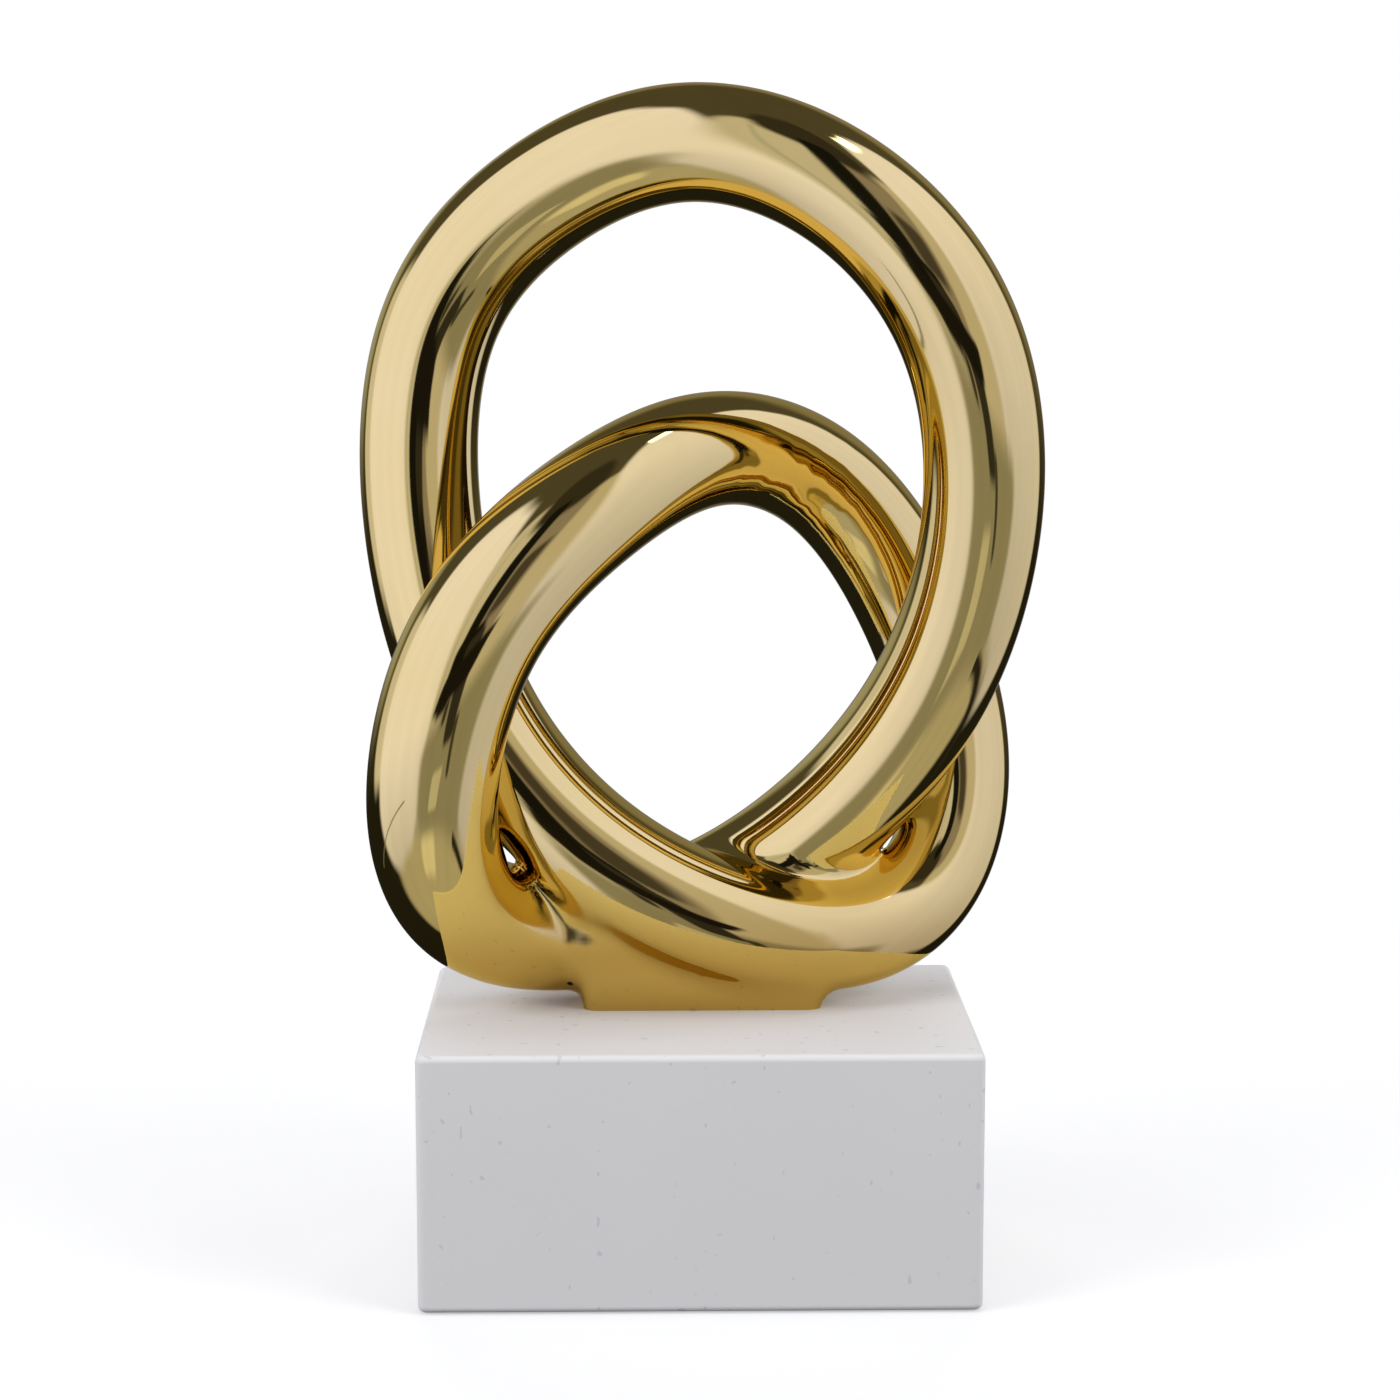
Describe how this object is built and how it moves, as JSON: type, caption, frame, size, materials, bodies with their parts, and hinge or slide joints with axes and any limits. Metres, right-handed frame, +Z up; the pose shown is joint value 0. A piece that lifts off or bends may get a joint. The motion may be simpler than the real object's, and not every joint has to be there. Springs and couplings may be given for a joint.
{
  "type": "knot sculpture",
  "caption": "Mirror-polished gold-tone tube tied in a closed, standing knot, fixed by a small foot to a plain matte white block.",
  "frame": {"origin": "middle of the rest plane under the felt pads, straight below the middle of the white block", "axes": "+Z up, -Y towards the viewer (the pictured front), +X to the viewer's right"},
  "size_m": [0.2158, 0.125, 0.3771],
  "materials": {
    "gold_metal": "mirror polished, gold plated",
    "raw_brass": "turned, unpolished",
    "white_block": "matte white lacquer over cast resin",
    "steel": "zinc plated",
    "felt": "dark wool felt"
  },
  "bodies": {
    "root": {"crown_arch": "gold_metal", "left_flank": "gold_metal", "front_sweep": "gold_metal", "right_bow": "gold_metal", "rear_arch": "gold_metal", "left_bow": "gold_metal", "back_sweep": "gold_metal", "right_flank": "gold_metal", "sleeve_crown_arch": "raw_brass", "sleeve_left_flank": "raw_brass", "sleeve_front_sweep": "raw_brass", "sleeve_right_bow": "raw_brass", "sleeve_rear_arch": "raw_brass", "sleeve_left_bow": "raw_brass", "sleeve_back_sweep": "raw_brass", "sleeve_right_flank": "raw_brass", "foot_block": "gold_metal", "plinth_block": "white_block", "felt_pad_front_left": "felt", "felt_pad_front_right": "felt", "felt_pad_rear_left": "felt", "felt_pad_rear_right": "felt", "stud_left": "steel", "nut_left": "steel", "washer_left": "steel", "lock_washer_left": "steel", "stud_right": "steel", "nut_right": "steel", "washer_right": "steel", "lock_washer_right": "steel"}
  },
  "joints": []
}
